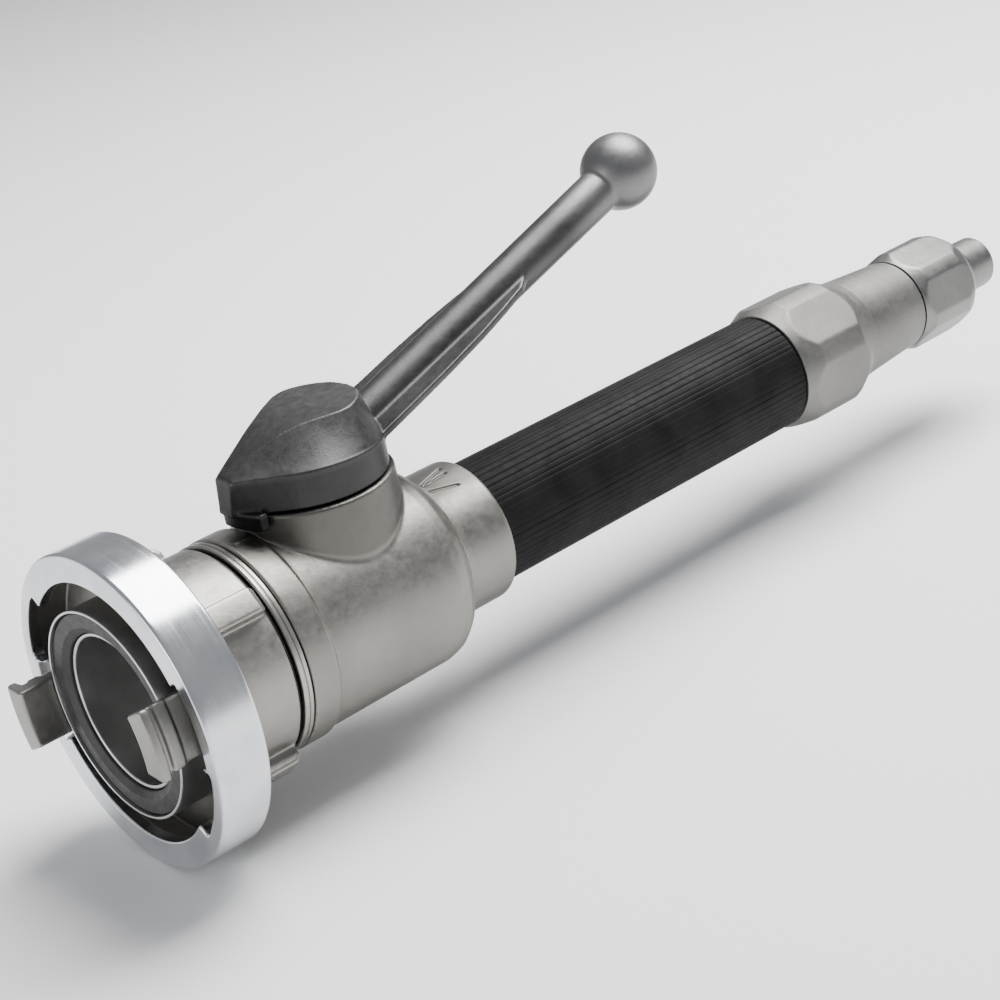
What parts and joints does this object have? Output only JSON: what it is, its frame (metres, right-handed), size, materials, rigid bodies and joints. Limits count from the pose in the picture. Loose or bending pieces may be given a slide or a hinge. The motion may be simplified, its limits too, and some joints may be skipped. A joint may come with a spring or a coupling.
{
  "type": "fire hose nozzle",
  "caption": "Multi-purpose branch nozzle: swivelling claw hose coupling, lever-worked ball valve, ribbed barrel grip, hexagonal spray head and screw-off mouthpiece.",
  "frame": {"origin": "centre of the coupling ring's front face, on the waterway's axis", "axes": "+X along the waterway towards the mouthpiece, +Z along the valve stem towards the lever, +Y to the left seen from behind the nozzle"},
  "size_m": [0.404, 0.0984, 0.1519],
  "materials": {
    "cast_aluminium": "tumbled casting, satin",
    "turned_aluminium": "turned, bright",
    "dark_casting": "grey tumbled casting, satin",
    "grey_aluminium": "machined and tumbled, satin",
    "stainless_steel": "ground",
    "brass": "turned",
    "black_rubber": "matt",
    "grip_plastic": "ribbed, satin black",
    "seat_plastic": "natural white"
  },
  "bodies": {
    "branchpipe": {"coupling_tail": "turned_aluminium", "coupling_gasket": "black_rubber", "swivel_seal": "black_rubber", "clamp_ring": "turned_aluminium", "valve_body": "cast_aluminium", "seat_front": "seat_plastic", "seat_rear": "seat_plastic", "stop_pin": "stainless_steel", "tube_carrier": "brass", "inner_tube": "turned_aluminium", "barrel_gasket_rear": "black_rubber", "barrel_tube": "turned_aluminium", "barrel_gasket_front": "black_rubber", "grip_sleeve": "grip_plastic", "spray_head": "cast_aluminium", "swirl_body": "brass", "nozzle_insert": "brass"},
    "swivel": {"coupling_ring": "cast_aluminium"},
    "valve_lever": {"lever": "dark_casting", "lever_grub_screw": "stainless_steel", "valve_stem": "stainless_steel", "stem_washer": "seat_plastic", "stem_o_ring_lower": "black_rubber", "stem_o_ring_upper": "black_rubber", "valve_ball": "stainless_steel"},
    "mouthpiece_seal": {"mouthpiece_o_ring": "black_rubber"},
    "mouth": {"mouthpiece": "grey_aluminium"}
  },
  "joints": [
    {"name": "coupling_swivel", "type": "hinge", "parent": "branchpipe", "child": "swivel", "pos_m": [0.02, 0, 0], "axis": [1, 0, 0], "continuous": true},
    {"name": "lever_turn", "type": "hinge", "parent": "branchpipe", "child": "valve_lever", "pos_m": [0.07984, 0, 0.04], "axis": [0, 0, 1], "range_deg": [0, 180]},
    {"name": "mouthpiece_travel", "type": "slide", "parent": "branchpipe", "child": "mouthpiece_seal", "axis": [1, 0, 0], "range_m": [0, 0.0105]},
    {"name": "mouthpiece_unscrew", "type": "hinge", "parent": "mouthpiece_seal", "child": "mouth", "pos_m": [0.36, 0, 0], "axis": [1, 0, 0], "range_deg": [0, 2520]}
  ],
  "couplings": [
    {"joint": "mouthpiece_travel", "follows": "mouthpiece_unscrew", "m_per_rad": 0.00023873}
  ]
}
